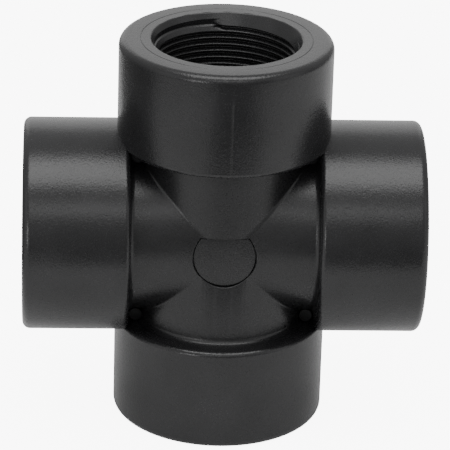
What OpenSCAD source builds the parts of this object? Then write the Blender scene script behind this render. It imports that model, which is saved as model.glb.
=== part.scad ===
// Four-way threaded pipe cross, moulded in one piece of thick black plastic.
// Origin: the point where the two port axes cross. X runs along the side ports,
// Z along the upright ports and Y from the front of the fitting to its back.

/* [Overall] */
// Distance between opposite port faces, the same both ways
face_to_face = 133; // [128:0.5:170]
// Outer diameter of each socket
socket_od = 71; // [66:0.5:86]
// Length of each socket, from its port face to its shoulder
socket_length = 35.3; // [28:0.1:36]
// Outer diameter of the two pipes that cross in the middle
pipe_od = 56.5; // [47:0.5:58]
// Diameter of the waterway through both pipes
waterway_d = 42; // [30:0.5:44]

/* [Thread] */
// Diameter over the thread's crests, 44.85 for a G 1-1/2 parallel thread
thread_crest_d = 44.85; // [42:0.05:46]
// Radial height of the thread, from crest to root
thread_height = 1.479; // [1:0.001:1.6]
// Distance from one crest to the next, 11 to the inch
thread_pitch = 2.309; // [2:0.001:3]
// Width of the flat on a crest
crest_flat = 0.38; // [0.2:0.01:0.5]
// Angle between the two flanks of a ridge
flank_angle = 55; // [45:1:60]
// Depth below the port face at which the thread stops and a plain bore begins
thread_depth = 25; // [20:0.5:26]
// Diameter of the lead-in cone where it meets the port face
lead_in_d = 50; // [48.5:0.1:54]
// Depth at which the lead-in cone reaches the crests
lead_in_depth = 4.4; // [2:0.1:6]
// Plain wall between the lead-in cone and the thread's first ridge, at its start
first_ridge_gap = 0.7; // [0:0.1:1.5]

/* [Edges] */
// Radius round the outer edge of each port face
rim_round = 2.6; // [0.5:0.1:4]
// Radius round the outer edge of each shoulder
shoulder_round = 1.7; // [0.5:0.1:3]
// Radius in the corner between a pipe and a shoulder
root_round = 1.7; // [0.5:0.1:3]

/* [Corner webs and ejector posts] */
// Thickness, front to back, of the web that closes each corner pocket
web_thickness = 8; // [4:0.5:14]
// Diameter of the posts that the ejector pins push on
post_d = 4.5; // [3:0.1:5.5]
// Distance from a post's axis to the shoulders beside it
post_inset = 2.5; // [2.3:0.1:5.5]
// Distance from the middle plane to the front of a post
post_reach = 10.7; // [9:0.1:14]

/* [Centre pads] */
// Diameter of the round blank pad on the front and the back
pad_d = 20.6; // [14:0.1:24]
// Height of the flat that cuts the top of a pad, above its centre
pad_flat = 6.7; // [4:0.1:8]
// Depth of a pad's face below the pipe's surface
pad_recess = 0.9; // [0.2:0.1:1.2]
// Thickness of a pad
pad_thickness = 1.2; // [0.6:0.1:2]

/* [Hidden] */
$fn = 96;
half_span = face_to_face / 2;
shoulder = half_span - socket_length;
socket_r = socket_od / 2;
pipe_r = pipe_od / 2;
waterway_r = waterway_d / 2;
crest_r = thread_crest_d / 2;
root_r = crest_r + thread_height;
lead_in_r = lead_in_d / 2;
lead_in_slope = (lead_in_r - crest_r) / lead_in_depth;
// a thread is drawn from a little below where the cone meets the thread's roots
thread_start = (lead_in_r - root_r) / lead_in_slope + first_ridge_gap;
flank_width = thread_height * tan(flank_angle / 2);
ridge_foot = crest_flat + 2 * flank_width;
post_place = shoulder - post_inset;
// a web starts inside the pipes' walls and ends at the shoulders
web_from = (waterway_r + pipe_r) / 2;
pad_r = pad_d / 2;
pad_face = pipe_r - pad_recess;
// fillets stay within the wall that they round
rim_r = min(rim_round, (socket_r - lead_in_r) / 2);
shoulder_r = min(shoulder_round, (socket_r - pipe_r) / 3);
root_fillet = min(root_round, (socket_r - pipe_r) / 3);
// how far a cutting shape runs past the surface that it cuts
past = 1;
// sections of the thread's ridge in one turn
turn_steps = 30;

// The ports and the corners, a quarter turn about Y apart, clockwise from the front
PORTS = ["top", "right", "bottom", "left"];
CORNERS = ["upper_right", "lower_right", "lower_left", "upper_left"];

// What is left outside a quarter circle, to cut a rounded outer corner
module corner_cut(r) {
    difference() {
        square(r + past);
        circle(r);
    }
}

// A pipe with a fillet at each end, solid, along Z. As a cutting shape it runs
// beyond the shoulders, so that no film is left in their planes
module pipe_skin(beyond) {
    rotate_extrude()
        union() {
            translate([0, -shoulder]) square([pipe_r, 2 * shoulder]);
            for (end = [0, 1])
                mirror([0, end])
                    difference() {
                        translate([0, shoulder - root_fillet])
                            square([pipe_r + root_fillet, root_fillet]);
                        translate([pipe_r + root_fillet, shoulder - root_fillet])
                            circle(root_fillet);
                    }
            if (beyond > 0)
                for (end = [0, 1])
                    mirror([0, end])
                        translate([0, shoulder]) square([pipe_r + root_fillet, beyond]);
        }
}

// The outside of the crossing, solid
module crossing_skin(beyond = 0) {
    union() {
        pipe_skin(beyond);
        rotate([0, 90, 0]) pipe_skin(beyond);
    }
}

// The outline of a pad, seen from the front: a circle with its top cut flat
module pad_outline() {
    difference() {
        circle(pad_r);
        translate([-pad_r - past, pad_flat])
            square([2 * (pad_r + past), pad_r]);
    }
}

// A pad's outline made solid between two distances in front of the middle plane
module pad_block(inner, outer) {
    rotate([90, 0, 0])
        translate([0, 0, inner])
            linear_extrude(outer - inner) pad_outline();
}

module crossing_core() {
    color([0.09, 0.09, 0.10])
        difference() {
            crossing_skin();
            cylinder(r = waterway_r, h = 2 * (shoulder + past), center = true);
            rotate([0, 90, 0])
                cylinder(r = waterway_r, h = 2 * (shoulder + past), center = true);
            for (side = [0, 1])
                mirror([0, side, 0])
                    pad_block(pad_face - pad_thickness, pipe_r + past);
        }
}

// Half of a socket's section: radius along X, distance above the shoulder along Y
module socket_section() {
    difference() {
        square([socket_r, socket_length]);
        translate([socket_r - rim_r, socket_length - rim_r]) corner_cut(rim_r);
        translate([socket_r - shoulder_r, shoulder_r])
            mirror([0, 1]) corner_cut(shoulder_r);
        translate([0, -past]) square([crest_r, socket_length + 2 * past]);
        translate([0, socket_length - thread_depth])
            square([root_r, thread_depth + past]);
        polygon([[0, socket_length],
                 [lead_in_r, socket_length],
                 [crest_r, socket_length - lead_in_depth],
                 [0, socket_length - lead_in_depth]]);
    }
}

// A socket that points up, mitred where it meets its neighbours
module socket() {
    color([0.11, 0.11, 0.12])
        difference() {
            translate([0, 0, shoulder]) rotate_extrude() socket_section();
            for (side = [0, 1])
                mirror([side, 0, 0])
                    rotate([0, 45, 0])
                        translate([0, -socket_r - past, -face_to_face])
                            cube([face_to_face, 2 * (socket_r + past), 2 * face_to_face]);
        }
}

// Distance of the ridge's middle below the port face, at a step along the helix
function ridge_drop(step) = thread_start + ridge_foot / 2 + thread_pitch * step / turn_steps;
// The cone cuts the ridge back to this radius at a distance below the port face
function cut_r(drop) = max(crest_r, lead_in_r - lead_in_slope * drop);
// A corner of the ridge's section, from its radius and its offset along the axis
function ridge_point(step, r, offset) =
    let (turn = 90 - 360 * step / turn_steps)
    [r * cos(turn), r * sin(turn), half_span - ridge_drop(step) - offset];
// The four corners of the section, the two on the root first
function ridge_section(step) =
    let (r = min(cut_r(ridge_drop(step)), root_r - 0.05),
         half_crest = ridge_foot / 2 - (root_r - r) * tan(flank_angle / 2))
    [ridge_point(step, root_r, -ridge_foot / 2),
     ridge_point(step, root_r, ridge_foot / 2),
     ridge_point(step, r, half_crest),
     ridge_point(step, r, -half_crest)];

// The thread's ridge in the socket that points up: right-handed, so it goes
// down as it goes clockwise, seen from outside the port
module thread() {
    steps = floor(turn_steps * (thread_depth - thread_start - ridge_foot) / thread_pitch);
    points = [for (step = [0:steps]) each ridge_section(step)];
    sides = [for (step = [0:steps - 1], k = [0:3])
                 let (a = 4 * step + k, b = 4 * step + (k + 1) % 4)
                 each [[a, b, b + 4], [a, b + 4, a + 4]]];
    last = 4 * steps;
    ends = [[2, 1, 0], [3, 2, 0], [last, last + 1, last + 2], [last, last + 2, last + 3]];
    color([0.16, 0.16, 0.17])
        polyhedron(points, concat(sides, ends));
}

// The web that closes the upper right corner between two pipes and two shoulders
module corner_web() {
    color([0.13, 0.13, 0.14])
        difference() {
            translate([web_from, -web_thickness / 2, web_from])
                cube([shoulder - web_from, web_thickness, shoulder - web_from]);
            crossing_skin(past);
        }
}

// The post that stands on the front of the upper right web
module ejector_post() {
    color([0.2, 0.2, 0.21])
        difference() {
            intersection() {
                translate([post_place, -web_thickness / 2, post_place])
                    rotate([90, 0, 0])
                        cylinder(d = post_d, h = post_reach - web_thickness / 2);
                // a post ends where the sockets begin
                translate([0, -post_reach - past, 0])
                    cube([shoulder, post_reach + past, shoulder]);
            }
            crossing_skin(past);
        }
}

// A blank pad, let into the crossing's front
module centre_pad() {
    color([0.17, 0.17, 0.19])
        pad_block(pad_face - pad_thickness, pad_face);
}

crossing_core();
for (k = [0:3])
    rotate([0, 90 * k, 0]) {
        socket();
        thread();
        corner_web();
        ejector_post();
    }
centre_pad();  // centre_pad_front
mirror([0, 1, 0]) centre_pad();  // centre_pad_back
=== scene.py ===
import math

import bmesh
import bpy
from mathutils import Matrix, Vector


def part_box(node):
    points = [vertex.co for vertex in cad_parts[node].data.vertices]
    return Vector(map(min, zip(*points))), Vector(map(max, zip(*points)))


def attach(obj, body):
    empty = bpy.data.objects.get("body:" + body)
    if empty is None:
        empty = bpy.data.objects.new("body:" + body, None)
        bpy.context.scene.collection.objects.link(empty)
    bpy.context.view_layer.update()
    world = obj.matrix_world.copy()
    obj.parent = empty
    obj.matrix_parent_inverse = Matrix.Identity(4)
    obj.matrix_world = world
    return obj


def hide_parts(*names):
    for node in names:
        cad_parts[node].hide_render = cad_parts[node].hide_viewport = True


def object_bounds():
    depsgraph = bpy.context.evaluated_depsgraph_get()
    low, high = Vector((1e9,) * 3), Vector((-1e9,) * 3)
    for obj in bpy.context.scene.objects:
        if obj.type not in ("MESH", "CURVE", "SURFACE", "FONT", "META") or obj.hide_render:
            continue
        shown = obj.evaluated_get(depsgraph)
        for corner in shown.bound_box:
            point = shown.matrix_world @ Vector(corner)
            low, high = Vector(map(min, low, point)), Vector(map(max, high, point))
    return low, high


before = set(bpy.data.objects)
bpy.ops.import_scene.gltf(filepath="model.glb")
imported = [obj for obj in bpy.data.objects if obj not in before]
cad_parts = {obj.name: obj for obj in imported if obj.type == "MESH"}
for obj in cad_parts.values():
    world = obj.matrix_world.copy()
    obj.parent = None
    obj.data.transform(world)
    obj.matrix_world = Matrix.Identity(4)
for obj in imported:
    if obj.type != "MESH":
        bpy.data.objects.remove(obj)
cadLow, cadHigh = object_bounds()
mm = 0.001
samePoint = 0.001 * mm       # points nearer than this lie in one place
weldDistance = 0.002 * mm
bisectReach = 0.0001 * mm    # how exactly a bisect finds its plane
onFace = 0.01 * mm           # an edge this near a face's plane lies in it

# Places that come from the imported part
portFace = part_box("socket_top")[1].z
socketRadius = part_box("socket_top")[1].y
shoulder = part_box("crossing_core")[1].z
ports = ["top", "right", "bottom", "left"]
corners = ["upper_right", "lower_right", "lower_left", "upper_left"]
print("frame loaded")


# Small helpers: what a hand would do again and again

def beginPiece():
    if bpy.context.object and bpy.context.object.mode != "OBJECT":
        bpy.ops.object.mode_set(mode="OBJECT")
    bpy.ops.object.select_all(action="DESELECT")


def pick(piece, kind, test):
    # selects only the verts or edges whose points all pass the test, in edit mode
    bpy.ops.mesh.select_mode(type="VERT" if kind == "verts" else "EDGE")
    bpy.ops.mesh.select_all(action="DESELECT")
    shape = bmesh.from_edit_mesh(piece.data)
    chosen = 0
    for part in getattr(shape, kind):
        points = [part.co] if kind == "verts" else [v.co for v in part.verts]
        if all(test(p) for p in points):
            part.select_set(True)
            chosen += 1
    shape.select_flush_mode()
    bmesh.update_edit_mesh(piece.data)
    return chosen


def pickRim(piece, height):
    # the open rim that lies at one height
    bpy.ops.mesh.select_mode(type="EDGE")
    bpy.ops.mesh.select_all(action="DESELECT")
    shape = bmesh.from_edit_mesh(piece.data)
    for edge in shape.edges:
        flat = all(abs(v.co.z - height) < samePoint for v in edge.verts)
        edge.select_set(edge.is_boundary and flat)
    shape.select_flush_mode()
    bmesh.update_edit_mesh(piece.data)


def extrudeRim(piece, radius, height):
    # extrudes the picked rim and takes the new one to a radius and a height
    bpy.ops.mesh.extrude_region_move()
    shape = bmesh.from_edit_mesh(piece.data)
    for v in shape.verts:
        if v.select:
            grow = radius / math.hypot(v.co.x, v.co.y)
            v.co = (v.co.x * grow, v.co.y * grow, height)
    bmesh.update_edit_mesh(piece.data)


def roundCorner(centre, radius, fromAngle, toAngle, steps=8):
    # points of an arc in a section, angles in degrees
    angles = [math.radians(fromAngle + (toAngle - fromAngle) * k / steps) for k in range(steps + 1)]
    return [(centre[0] + radius * math.cos(a), centre[1] + radius * math.sin(a)) for a in angles]


def drawSection(name, points, closed=True):
    # draws a section in the XZ plane, point by point: (radius, height)
    beginPiece()
    bpy.ops.mesh.primitive_plane_add(size=mm, location=(0, 0, 0))
    piece = bpy.context.object
    piece.name = name
    bpy.ops.object.mode_set(mode="EDIT")
    bpy.ops.mesh.select_mode(type="VERT")
    bpy.ops.mesh.select_all(action="SELECT")
    bpy.ops.mesh.merge(type="CENTER")
    bpy.ops.transform.translate(value=(points[0][0], 0, points[0][1]))
    for old, new in zip(points, points[1:]):
        step = (new[0] - old[0], 0, new[1] - old[1])
        bpy.ops.mesh.extrude_region_move(TRANSFORM_OT_translate={"value": step})
    if closed:
        ends = (Vector((points[0][0], 0, points[0][1])), Vector((points[-1][0], 0, points[-1][1])))
        pick(piece, "verts", lambda p: min((p - e).length for e in ends) < samePoint)
        bpy.ops.mesh.edge_face_add()
    return piece


def spinSection(steps):
    # turns the drawn section a whole turn about Z
    bpy.ops.mesh.select_all(action="SELECT")
    bpy.ops.mesh.spin(steps=steps, angle=math.tau, center=(0, 0, 0), axis=(0, 0, 1))
    bpy.ops.mesh.select_all(action="SELECT")
    bpy.ops.mesh.remove_doubles(threshold=weldDistance)
    bpy.ops.mesh.normals_make_consistent(inside=False)


def mitre(fill):
    # keeps what is nearer the upright axis than the side axis
    for side in (1, -1):
        bpy.ops.mesh.select_all(action="SELECT")
        bpy.ops.mesh.bisect(plane_co=(0, 0, 0), plane_no=(side, 0, -1), use_fill=fill,
                            clear_outer=True, threshold=bisectReach)
    bpy.ops.mesh.select_all(action="SELECT")


def applyModifier(piece, kind, **values):
    bpy.context.view_layer.objects.active = piece
    modifier = piece.modifiers.new(kind.title(), kind)
    for key, value in values.items():
        setattr(modifier, key, value)
    bpy.ops.object.modifier_apply(modifier=modifier.name)


def finishPiece(piece, smoothAngle=32):
    # back to object mode, place applied, smooth where the shape is smooth
    beginPiece()
    piece.select_set(True)
    bpy.context.view_layer.objects.active = piece
    bpy.ops.object.transform_apply(location=True, rotation=True, scale=True)
    bpy.ops.object.shade_smooth_by_angle(angle=math.radians(smoothAngle))


def quarterTurns(piece, names):
    # the piece and its copies, a quarter turn about Y apart, each with its own mesh
    made = [piece]
    piece.name = names[0]
    for k, name in list(enumerate(names))[1:]:
        beginPiece()
        piece.select_set(True)
        bpy.context.view_layer.objects.active = piece
        bpy.ops.object.duplicate()
        copy = bpy.context.object
        copy.name = name
        copy.rotation_euler = (0, math.radians(90 * k), 0)
        bpy.ops.object.transform_apply(location=True, rotation=True, scale=True)
        made.append(copy)
    return made


def settle(piece, material, nodes):
    piece.data.materials.clear()
    piece.data.materials.append(material)
    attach(piece, "root")
    if nodes:
        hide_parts(*nodes)


# Black moulded plastic

plasticValues = {
    "grainSize": 0.55 * mm,      # grain that the mould's spark-eroded steel leaves
    "pitSize": 1.7 * mm,         # slower waviness over it
    "grainDepth": 0.065 * mm,
    "wavyDepth": 0.030 * mm,
    "dark": 0.009,               # the colour, from its darkest to its palest
    "pale": 0.015,
    "blueTint": 1.06,
    "cloudSize": 14 * mm,
    "speckSpacing": 9 * mm,      # dust and small nicks
    "speckEdge": (0.028, 0.012), # a speck fades in between these, as shares of the spacing
    "speckPale": 0.035,
    "speckRough": 0.25,
    "knitPlace": 0.9 * mm,       # where the two flows of plastic met
    "knitWidth": 0.42 * mm,
    "knitDepth": 0.09 * mm,
    "knitFront": (-20 * mm, -26 * mm),   # it fades in towards the front, along Y
    "knitFoot": (22 * mm, 34 * mm),      # and up the pipe, along Z
    "knitHead": (62 * mm, 57 * mm),      # and has faded out again below the rim
}


def addNode(tree, kind, inputs=None, **values):
    node = tree.nodes.new(kind)
    for key, value in values.items():
        setattr(node, key, value)
    for key, value in (inputs or {}).items():
        if isinstance(value, bpy.types.NodeSocket):
            tree.links.new(value, node.inputs[key])
        else:
            node.inputs[key].default_value = value
    return node


def sums(tree, operation, first, second=0.0, clamp=False):
    return addNode(tree, "ShaderNodeMath", {0: first, 1: second},
                   operation=operation, use_clamp=clamp).outputs[0]


def remap(tree, value, fromLow, fromHigh, toLow, toHigh):
    return addNode(tree, "ShaderNodeMapRange",
                   {"Value": value, "From Min": fromLow, "From Max": fromHigh,
                    "To Min": toLow, "To Max": toHigh}).outputs["Result"]


def noise(tree, place, size, detail=2.0):
    return addNode(tree, "ShaderNodeTexNoise",
                   {"Vector": place, "Scale": 1 / size, "Detail": detail}).outputs["Fac"]


def blackPlastic(name, gloss=(0.17, 0.30), grain=1.0, knit=False, shine=0.5):
    v = plasticValues
    material = bpy.data.materials.new(name)
    material.use_nodes = True
    tree = material.node_tree
    shader = tree.nodes["Principled BSDF"]
    place = addNode(tree, "ShaderNodeTexCoord").outputs["Object"]
    fine = noise(tree, place, v["grainSize"], 3.0)
    wavy = noise(tree, place, v["pitSize"], 2.0)
    cloudy = noise(tree, place, v["cloudSize"], 3.0)
    speck = addNode(tree, "ShaderNodeTexVoronoi",
                    {"Vector": place, "Scale": 1 / v["speckSpacing"]}).outputs["Distance"]
    speckMask = remap(tree, speck, *v["speckEdge"], 0, 1)
    # colour: near black, a little cloudy, paler in a nick
    shade = remap(tree, cloudy, 0.3, 0.7, v["dark"], v["pale"])
    shade = sums(tree, "ADD", shade, sums(tree, "MULTIPLY", speckMask, v["speckPale"]))
    blue = sums(tree, "MULTIPLY", shade, v["blueTint"])
    colour = addNode(tree, "ShaderNodeCombineColor", {"Red": shade, "Green": shade, "Blue": blue})
    tree.links.new(colour.outputs[0], shader.inputs["Base Color"])
    # gloss varies with the grain
    rough = remap(tree, fine, 0.3, 0.7, gloss[0], gloss[1])
    dusty = sums(tree, "MULTIPLY", speckMask, v["speckRough"])
    rough = sums(tree, "ADD", rough, dusty, clamp=True)
    tree.links.new(rough, shader.inputs["Roughness"])
    height = sums(tree, "MULTIPLY", fine, v["grainDepth"] * grain)
    height = sums(tree, "ADD", height, sums(tree, "MULTIPLY", wavy, v["wavyDepth"] * grain))
    if knit:
        # a fine groove up the front, where the flows met
        axes = addNode(tree, "ShaderNodeSeparateXYZ", {"Vector": place}).outputs
        away = sums(tree, "ABSOLUTE", sums(tree, "SUBTRACT", axes["X"], v["knitPlace"]))
        line = remap(tree, away, v["knitWidth"], 0, 0, 1)
        front = remap(tree, axes["Y"], *v["knitFront"], 0, 1)
        upper = remap(tree, axes["Z"], *v["knitFoot"], 0, 1)
        belowRim = remap(tree, axes["Z"], *v["knitHead"], 0, 1)
        line = sums(tree, "MULTIPLY", line, front)
        line = sums(tree, "MULTIPLY", line, sums(tree, "MULTIPLY", upper, belowRim))
        height = sums(tree, "SUBTRACT", height, sums(tree, "MULTIPLY", line, v["knitDepth"]))
    bump = addNode(tree, "ShaderNodeBump", {"Height": height, "Strength": 1.0, "Distance": 1.0})
    tree.links.new(bump.outputs["Normal"], shader.inputs["Normal"])
    shader.inputs["IOR"].default_value = 1.5
    shader.inputs["Specular IOR Level"].default_value = shine
    return material


hubPlastic = blackPlastic("hubPlastic", knit=True)
corePlastic = blackPlastic("corePlastic", gloss=(0.24, 0.37), grain=0.8, knit=True)
threadPlastic = blackPlastic("threadPlastic", gloss=(0.22, 0.36), grain=0.4)
detailPlastic = blackPlastic("detailPlastic", gloss=(0.24, 0.38), grain=0.7)
postPlastic = blackPlastic("postPlastic", gloss=(0.34, 0.48), grain=0.9, shine=0.22)
padPlastic = blackPlastic("padPlastic", gloss=(0.22, 0.40), grain=1.6)
print("materials made")


# The sockets: thick hubs with a rounded rim and a faint ring on the port face

socketValues = {
    "boreRadius": 22.425 * mm,
    "linerRadius": 25.6 * mm,     # the threaded wall is a piece of its own, inside this
    "threadDepth": 25 * mm,
    "rimRound": 2.6 * mm,
    "shoulderRound": 1.7 * mm,
    "witnessRadius": 28.35 * mm,  # ring left by the mould's core
    "witnessWidth": 0.16 * mm,
    "witnessDepth": 0.12 * mm,
    "steps": 192,
}


def makeSockets():
    v = socketValues
    rim = (socketRadius - v["rimRound"], portFace - v["rimRound"])
    low = (socketRadius - v["shoulderRound"], shoulder + v["shoulderRound"])
    threadEnd = portFace - v["threadDepth"]
    section = [(v["boreRadius"], shoulder)]
    section += roundCorner(low, v["shoulderRound"], -90, 0)
    section += roundCorner(rim, v["rimRound"], 0, 90, 10)
    section += [(v["witnessRadius"] + v["witnessWidth"], portFace),
                (v["witnessRadius"], portFace - v["witnessDepth"]),
                (v["witnessRadius"] - v["witnessWidth"], portFace),
                (v["linerRadius"], portFace),
                (v["linerRadius"], threadEnd),
                (v["boreRadius"], threadEnd)]
    piece = drawSection("socketTop", section)
    spinSection(v["steps"])
    mitre(fill=True)
    finishPiece(piece)
    for port, made in zip(ports, quarterTurns(piece, [f"socket_{p}_moulded" for p in ports])):
        settle(made, hubPlastic, [f"socket_{port}"])


makeSockets()
print("sockets made")


# The threads: a real helix, cut back by the lead-in cone, starting as a wedge near the back

threadValues = {
    "pitch": 2.309 * mm,
    "crestRadius": 22.425 * mm,
    "height": 1.479 * mm,
    "crestFlat": 0.38 * mm,
    "flankAngle": 55,
    "softness": 0.12,             # rounding of crest and root, as a share of the height
    "coneRadius": 25 * mm,
    "coneDepth": 4.4 * mm,
    "startGap": 0.7 * mm,         # plain wall between the cone and the first ridge
    "lipRound": 0.3 * mm,
    "wedgeTurns": 0.020,          # how soon the first ridge reaches full height
    "startTurn": 0.022,           # the first ridge starts this much of a turn before the back
    "landWidth": 1.05 * mm,       # the first turn's crest is wider by this, towards the port
    "joinWidth": 1.2 * mm,        # and by this as well where it is joined to the cone
    "widenTurns": 0.050,          # how soon it has widened into the cone
    "joinTurns": 0.26,            # where it has parted from the cone again
    "partTurns": 0.10,            # how long the parting takes
    "rows": 22,                   # rows in one pitch
    "steps": 160,                 # steps in one turn
}


def softStep(t, soft):
    if t <= -soft:
        return 0.0
    if t < soft:
        return (t + soft) ** 2 / (4 * soft)
    if t <= 1 - soft:
        return t
    if t < 1 + soft:
        return 1 - (1 + soft - t) ** 2 / (4 * soft)
    return 1.0


def coneSlope():
    v = threadValues
    return (v["coneRadius"] - v["crestRadius"]) / v["coneDepth"]


def coneAt(drop):
    v = threadValues
    lip = v["lipRound"] / 2
    if drop > 0:
        lip = max(0.0, v["lipRound"] - drop) ** 2 / (2 * v["lipRound"])
    return v["coneRadius"] - coneSlope() * drop + lip


def ridgeStart():
    # distance of the first ridge's middle below the port face, where the ridge starts
    v = threadValues
    coneEnd = (v["coneRadius"] - v["crestRadius"] - v["height"]) / coneSlope()
    return coneEnd + v["startGap"] + ridgeFoot() / 2


def ridgeFoot():
    v = threadValues
    return v["crestFlat"] + 2 * v["height"] * math.tan(math.radians(v["flankAngle"] / 2))


def wallRadius(drop, turn):
    # turn is the share of a turn from the ridge's start, clockwise seen from outside the port
    v = threadValues
    along = (drop - ridgeStart()) / v["pitch"] - turn
    ridge = max(0, round(along))   # there is no ridge above the first
    off = (along - ridge) * v["pitch"]
    turns = ridge + turn
    full = min(1.0, max(0.0, turns / v["wedgeTurns"]))
    if off < 0 and turns < 1 + v["wedgeTurns"]:
        # the first turn's crest widens into a land that slopes like the cone
        # and starts out joined to it
        widening = min(1.0, turns / v["widenTurns"])
        joined = min(1.0, max(0.0, (v["joinTurns"] - turns) / v["partTurns"]))
        ending = min(1.0, max(0.0, (1 + v["wedgeTurns"] - turns) / v["wedgeTurns"]))
        wide = (v["landWidth"] + v["joinWidth"] * joined) * widening * ending
        sloped = 1 - coneSlope() * max(0.0, -off - v["crestFlat"] / 2) / v["height"]
        off = min(0.0, off + wide)
    else:
        sloped = 1.0
    flank = (ridgeFoot() - v["crestFlat"]) / 2
    inside = softStep((ridgeFoot() / 2 - abs(off)) / flank, v["softness"])
    rise = min(inside, max(0.0, sloped)) * full
    root = v["crestRadius"] + v["height"]
    return max(root - v["height"] * rise, coneAt(drop))


def makeThreads():
    v = threadValues
    liner = socketValues["linerRadius"]
    end = portFace - socketValues["threadDepth"]
    turns = math.ceil(socketValues["threadDepth"] / v["pitch"]) + 3
    # the section is drawn a quarter turn on
    lowest = ridgeStart() + v["pitch"] * (turns - 2 + 0.25)
    section = []
    for k in range(v["rows"] + 1):
        drop = lowest - v["pitch"] * k / v["rows"]
        section.append((v["crestRadius"] + v["height"], portFace - drop))
    piece = drawSection("threadTop", section, closed=False)
    bpy.ops.object.mode_set(mode="OBJECT")
    applyModifier(piece, "SCREW", axis="Z", angle=math.tau, screw_offset=v["pitch"],
                  iterations=turns, steps=v["steps"], render_steps=v["steps"],
                  use_merge_vertices=True, merge_threshold=samePoint)
    bpy.ops.object.mode_set(mode="EDIT")
    bpy.ops.mesh.select_all(action="SELECT")
    bpy.ops.mesh.remove_doubles(threshold=weldDistance)
    shape = bmesh.from_edit_mesh(piece.data)
    for p in shape.verts:
        turn = (math.atan2(p.co.x, p.co.y) / math.tau + v["startTurn"]) % 1.0
        radius = wallRadius(portFace - p.co.z, turn)
        grow = radius / math.hypot(p.co.x, p.co.y)
        p.co = (p.co.x * grow, p.co.y * grow, p.co.z)
    bmesh.update_edit_mesh(piece.data)
    for height, up in ((portFace, 1), (end, -1)):
        bpy.ops.mesh.select_all(action="SELECT")
        bpy.ops.mesh.bisect(plane_co=(0, 0, height), plane_no=(0, 0, up), clear_outer=True,
                            threshold=bisectReach)
    pickRim(piece, portFace)
    extrudeRim(piece, liner, portFace)
    extrudeRim(piece, liner, end)
    pickRim(piece, end)
    bpy.ops.mesh.bridge_edge_loops()
    bpy.ops.mesh.select_all(action="SELECT")
    bpy.ops.mesh.normals_make_consistent(inside=False)
    finishPiece(piece, 40)
    for port, made in zip(ports, quarterTurns(piece, [f"thread_{p}_cut" for p in ports])):
        settle(made, threadPlastic, [f"thread_{port}"])


makeThreads()
print("threads made")


# The crossing: four mitred arms made one, with small fillets in the creases

coreValues = {
    "pipeRadius": 28.25 * mm,
    "waterRadius": 21 * mm,
    "rootRound": 1.7 * mm,
    "creaseFillet": 0.8 * mm,
    "creaseFrom": 4 * mm,         # nearer the middle the two pipes run into each other
    "padGap": 0.20 * mm,          # groove round the pad
    "lipRound": 0.42 * mm,        # rounding of a pocket's edge
    "armWeld": 0.004 * mm,        # the four arms are joined where they are this close
    "creaseReach": 0.005 * mm,    # how far off the mitre an edge may lie
    "skinReach": 0.1 * mm,        # and how far inside the pipe's surface
    "lipReach": 0.03 * mm,
    "padSides": 96,
    "steps": 192,
}
padRadius = -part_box("centre_pad_front")[0].z
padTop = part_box("centre_pad_front")[1].z
padFace = -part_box("centre_pad_front")[0].y
padBack = -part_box("centre_pad_front")[1].y


def padBlock(name, radius, top, inner, outer):
    # a round block with its top cut flat, standing out of the front
    beginPiece()
    bpy.ops.mesh.primitive_circle_add(vertices=coreValues["padSides"], radius=radius,
                                      fill_type="NGON", location=(0, -inner, 0),
                                      rotation=(math.pi / 2, 0, 0))
    piece = bpy.context.object
    piece.name = name
    bpy.ops.object.transform_apply(location=True, rotation=True, scale=True)
    bpy.ops.object.mode_set(mode="EDIT")
    bpy.ops.mesh.select_all(action="SELECT")
    bpy.ops.mesh.bisect(plane_co=(0, 0, top), plane_no=(0, 0, 1), clear_outer=True,
                        threshold=bisectReach)
    bpy.ops.mesh.select_all(action="SELECT")
    bpy.ops.mesh.extrude_region_move(TRANSFORM_OT_translate={"value": (0, inner - outer, 0)})
    bpy.ops.mesh.select_all(action="SELECT")
    bpy.ops.mesh.normals_make_consistent(inside=False)
    return piece


def skinAt(x, z):
    # distance of the crossing's surface from the middle plane
    return math.sqrt(coreValues["pipeRadius"] ** 2 - min(abs(x), abs(z)) ** 2)


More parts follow.
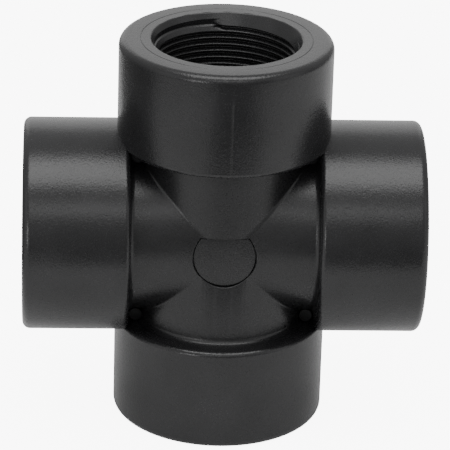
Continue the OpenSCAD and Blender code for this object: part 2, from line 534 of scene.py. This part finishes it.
def makeCore():
    v = coreValues
    fillet = (v["pipeRadius"] + v["rootRound"], shoulder - v["rootRound"])
    section = [(v["waterRadius"], -mm), (v["pipeRadius"], -mm)]
    section += roundCorner(fillet, v["rootRound"], 180, 90)
    section += [(v["waterRadius"], shoulder)]
    arm = drawSection("coreArm", section)
    spinSection(v["steps"])
    mitre(fill=False)
    bpy.ops.object.mode_set(mode="OBJECT")
    arms = quarterTurns(arm, ["coreArm", "coreArm2", "coreArm3", "coreArm4"])
    beginPiece()
    for piece in arms:
        piece.select_set(True)
    bpy.context.view_layer.objects.active = arm
    bpy.ops.object.join()
    bpy.ops.object.mode_set(mode="EDIT")
    bpy.ops.mesh.select_all(action="SELECT")
    bpy.ops.mesh.remove_doubles(threshold=v["armWeld"])
    bpy.ops.mesh.normals_make_consistent(inside=False)
    found = pick(arm, "edges", lambda p: abs(abs(p.x) - abs(p.z)) < v["creaseReach"]
                 and abs(p.x) > v["creaseFrom"]
                 and math.hypot(p.x, p.y) > v["pipeRadius"] - v["skinReach"])
    print("crease edges", found)
    bpy.ops.mesh.bevel(offset=v["creaseFillet"], segments=4, profile=0.5, affect="EDGES")
    bpy.ops.object.mode_set(mode="OBJECT")
    # the pads' pockets, front and back
    for side in (1, -1):
        cutter = padBlock("pocketCutter", padRadius + v["padGap"], padTop + v["padGap"],
                          side * padBack, side * (v["pipeRadius"] + mm))
        bpy.ops.object.mode_set(mode="OBJECT")
        applyModifier(arm, "BOOLEAN", operation="DIFFERENCE", object=cutter, solver="EXACT")
        bpy.data.objects.remove(cutter)
    bpy.ops.object.mode_set(mode="EDIT")
    lip = padRadius + v["padGap"]
    found = pick(arm, "edges", lambda p: abs(math.hypot(p.x, p.z) - lip) < v["lipReach"]
                 and abs(abs(p.y) - skinAt(p.x, p.z)) < v["lipReach"])
    bpy.ops.mesh.bevel(offset=v["lipRound"], segments=3, profile=0.5, affect="EDGES")
    print("pocket lip edges", found)
    bpy.ops.object.mode_set(mode="OBJECT")
    finishPiece(arm, 30)
    arm.name = "crossing_core_moulded"
    settle(arm, corePlastic, ["crossing_core"])


makeCore()
print("core made")


# The blank pads, let into the front and the back

padValues = {"edgeRound": 0.22 * mm, "edgeGap": 0.06 * mm}


def makePads():
    v = padValues
    for name, side in (("front", 1), ("back", -1)):
        piece = padBlock("pad", padRadius - v["edgeGap"], padTop - v["edgeGap"],
                         side * padBack, side * padFace)
        found = pick(piece, "edges", lambda p: abs(p.y + side * padFace) < onFace)
        bpy.ops.mesh.bevel(offset=v["edgeRound"], segments=3, profile=0.5, affect="EDGES")
        print("pad", name, "rim edges", found)
        finishPiece(piece, 45)
        piece.name = f"centre_pad_{name}_moulded"
        settle(piece, padPlastic, [f"centre_pad_{name}"])


makePads()
print("pads made")


# The ejector posts: short pins with a shallow dish where the pin pushed

postValues = {"edgeRound": 0.18 * mm, "rimWidth": 0.4 * mm, "dishDepth": 0.08 * mm, "sides": 48}
postLow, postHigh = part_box("ejector_post_upper_right")


def makePosts():
    v = postValues
    front, back = postLow.y, postHigh.y
    radius = (postHigh.x - postLow.x) / 2
    beginPiece()
    bpy.ops.mesh.primitive_cylinder_add(vertices=v["sides"], radius=radius, depth=back - front,
                                        rotation=(math.pi / 2, 0, 0),
                                        location=(postHigh.x - radius, (front + back) / 2,
                                                  postHigh.z - radius))
    piece = bpy.context.object
    bpy.ops.object.transform_apply(location=True, rotation=True, scale=True)
    bpy.ops.object.mode_set(mode="EDIT")
    pick(piece, "edges", lambda p: abs(p.y - front) < onFace)
    bpy.ops.mesh.bevel(offset=v["edgeRound"], segments=3, profile=0.5, affect="EDGES")
    bpy.ops.mesh.select_mode(type="FACE")
    bpy.ops.mesh.select_all(action="DESELECT")
    shape = bmesh.from_edit_mesh(piece.data)
    for face in shape.faces:
        face.select_set(all(abs(p.co.y - front) < onFace for p in face.verts))
    bmesh.update_edit_mesh(piece.data)
    bpy.ops.mesh.inset(thickness=v["rimWidth"])
    bpy.ops.mesh.inset(thickness=v["dishDepth"], depth=-v["dishDepth"])
    bpy.ops.mesh.select_all(action="SELECT")
    bpy.ops.mesh.normals_make_consistent(inside=False)
    finishPiece(piece)
    copies = quarterTurns(piece, [f"ejector_post_{c}_pin" for c in corners])
    for corner, made in zip(corners, copies):
        settle(made, postPlastic, [f"ejector_post_{corner}"])


makePosts()
for corner in corners:
    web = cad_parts[f"corner_web_{corner}"]
    web.data.materials.clear()
    web.data.materials.append(detailPlastic)
print("posts made")


# The stage: a pale floor and soft lights

stageValues = {
    "floorSize": 6.0,
    "floorGlow": 8.0,
    "paperGrain": 0.3,
    "paperTone": (0.86, 0.90),
    "paperRough": 0.9,
    "paperShine": 0.1,
    "sheetGlow": 0.25,
    "sheetFront": 0.20,           # the white sheet under the fitting ends this far in front
    "sheetBack": 1.6,
    "sheetLeft": -0.20,
    "sheetRight": 1.2,
    "sheetDrop": 0.05 * mm,       # how far the cards lie below the floor
    "apronDrop": 0.15 * mm,
    "apronGlow": 0.10,            # two darker cards further out, either side of the middle
    "apronFront": -0.45,
    "leftApronX": (-0.45, -0.075),
    "leftApronBack": -0.05,
    "rightApronX": (0.17, 1.2),
    "surroundLow": 0.22,          # how bright the room is low down and high up
    "surroundHigh": 0.75,
    "surroundSpan": (-0.32, 0.75),  # the Z of the directions where it is that bright
}
floorHeight = cadLow.z


def paleMaterial(name, glow):
    material = bpy.data.materials.new(name)
    material.use_nodes = True
    tree = material.node_tree
    shader = tree.nodes["Principled BSDF"]
    place = addNode(tree, "ShaderNodeTexCoord").outputs["Object"]
    v = stageValues
    tone = remap(tree, noise(tree, place, v["paperGrain"]), 0.2, 0.8, *v["paperTone"])
    colour = addNode(tree, "ShaderNodeCombineColor", {"Red": tone, "Green": tone, "Blue": tone})
    tree.links.new(colour.outputs[0], shader.inputs["Base Color"])
    shader.inputs["Roughness"].default_value = v["paperRough"]
    shader.inputs["Specular IOR Level"].default_value = v["paperShine"]
    shader.inputs["Emission Color"].default_value = (1, 1, 1, 1)
    shader.inputs["Emission Strength"].default_value = glow
    return material


def flatCard(name, width, depth, location, rotation, glow):
    beginPiece()
    bpy.ops.mesh.primitive_plane_add(size=1, location=location, rotation=rotation)
    card = bpy.context.object
    card.name = name
    card.scale = (width, depth, 1)
    bpy.ops.object.transform_apply(location=True, rotation=True, scale=True)
    card.data.materials.append(paleMaterial(name + "Paper", glow))
    return card


floor = flatCard("paleFloor", stageValues["floorSize"], stageValues["floorSize"],
                 (0, 0, floorHeight), (0, 0, 0), stageValues["floorGlow"])
floor.visible_glossy = False
floor.visible_diffuse = False


def whiteCard(name, xRange, yRange, drop, glow):
    # a card under the fitting that lights it from below, out of the camera's sight
    middle = ((xRange[0] + xRange[1]) / 2, (yRange[0] + yRange[1]) / 2, floorHeight - drop)
    card = flatCard(name, xRange[1] - xRange[0], yRange[1] - yRange[0], middle, (0, 0, 0), glow)
    card.visible_camera = False


def layCards():
    v = stageValues
    sheetEnd = -v["sheetFront"]
    whiteCard("whiteSheet", (v["sheetLeft"], v["sheetRight"]), (sheetEnd, v["sheetBack"]),
              v["sheetDrop"], v["sheetGlow"])
    whiteCard("leftApron", v["leftApronX"], (v["apronFront"], v["leftApronBack"]),
              v["apronDrop"], v["apronGlow"])
    whiteCard("rightApron", v["rightApronX"], (v["apronFront"], sheetEnd),
              v["apronDrop"], v["apronGlow"])


layCards()

# Each light's width, height, place and brightness
lightValues = {
    "overheadSoftbox": (0.9, 0.56, (0, -0.17, 0.95), 3.4),
    "frontSoftbox": (1.0, 0.34, (0, -1.25, 0.95), 1.6),
    "leftSoftbox": (0.7, 0.9, (-1.0, -0.45, 0.25), 0.4),
    "rightSoftbox": (0.7, 0.9, (1.0, -0.45, 0.25), 0.4),
    "backSoftbox": (1.6, 1.1, (0, 1.5, 0.45), 0.68),
    "keySoftbox": (0.4, 0.4, (-0.75, -1.15, 0.2), 4.5),   # lights the left crease
}


def softBox(name, width, height, location, brightness):
    # brightness is what its face looks like in a reflection
    beginPiece()
    bpy.ops.object.light_add(type="AREA", location=location)
    light = bpy.context.object
    light.name = name
    light.data.shape = "RECTANGLE"
    light.data.size, light.data.size_y = width, height
    light.visible_camera = False
    light.data.energy = brightness * math.pi * width * height
    light.rotation_euler = (-Vector(location)).to_track_quat("-Z", "Y").to_euler()


for lightName, values in lightValues.items():
    softBox(lightName, *values)

world = bpy.data.worlds.new("studio")
bpy.context.scene.world = world
world.use_nodes = True
tree = world.node_tree
background = tree.nodes["Background"]
direction = addNode(tree, "ShaderNodeTexCoord").outputs["Generated"]
upward = addNode(tree, "ShaderNodeSeparateXYZ", {"Vector": direction}).outputs["Z"]
room = remap(tree, upward, *stageValues["surroundSpan"],
             stageValues["surroundLow"], stageValues["surroundHigh"])
tree.links.new(room, background.inputs["Strength"])
background.inputs["Color"].default_value = (1, 1, 1, 1)


# The camera: a long lens, looking down a little

cameraValues = {
    "elevation": 23.853, "azimuth": -2.91, "roll": 1.71,
    "distance": 1113.6 * mm, "across": 1.183 * mm, "up": -0.299 * mm, "lens": 265.2,
    "sensor": 36, "clip": (0.05, 20),
}


def placeCamera():
    v = cameraValues
    tilt, turn, roll = (math.radians(v[k]) for k in ("elevation", "azimuth", "roll"))
    back = Vector((math.sin(turn) * math.cos(tilt), -math.cos(turn) * math.cos(tilt),
                   math.sin(tilt)))
    right = Vector((math.cos(turn), math.sin(turn), 0))
    up = back.cross(right)
    place = right * v["across"] + up * v["up"] + back * v["distance"]
    rolledRight = right * math.cos(roll) + up * math.sin(roll)
    rolledUp = up * math.cos(roll) - right * math.sin(roll)
    bpy.ops.object.camera_add()
    camera = bpy.context.object
    camera.matrix_world = Matrix((
        (rolledRight.x, rolledUp.x, back.x, place.x),
        (rolledRight.y, rolledUp.y, back.y, place.y),
        (rolledRight.z, rolledUp.z, back.z, place.z),
        (0, 0, 0, 1)))
    camera.data.lens = v["lens"]
    camera.data.sensor_width = v["sensor"]
    camera.data.clip_start, camera.data.clip_end = v["clip"]
    bpy.context.scene.camera = camera


beginPiece()
placeCamera()
print("stage, lights and camera set")
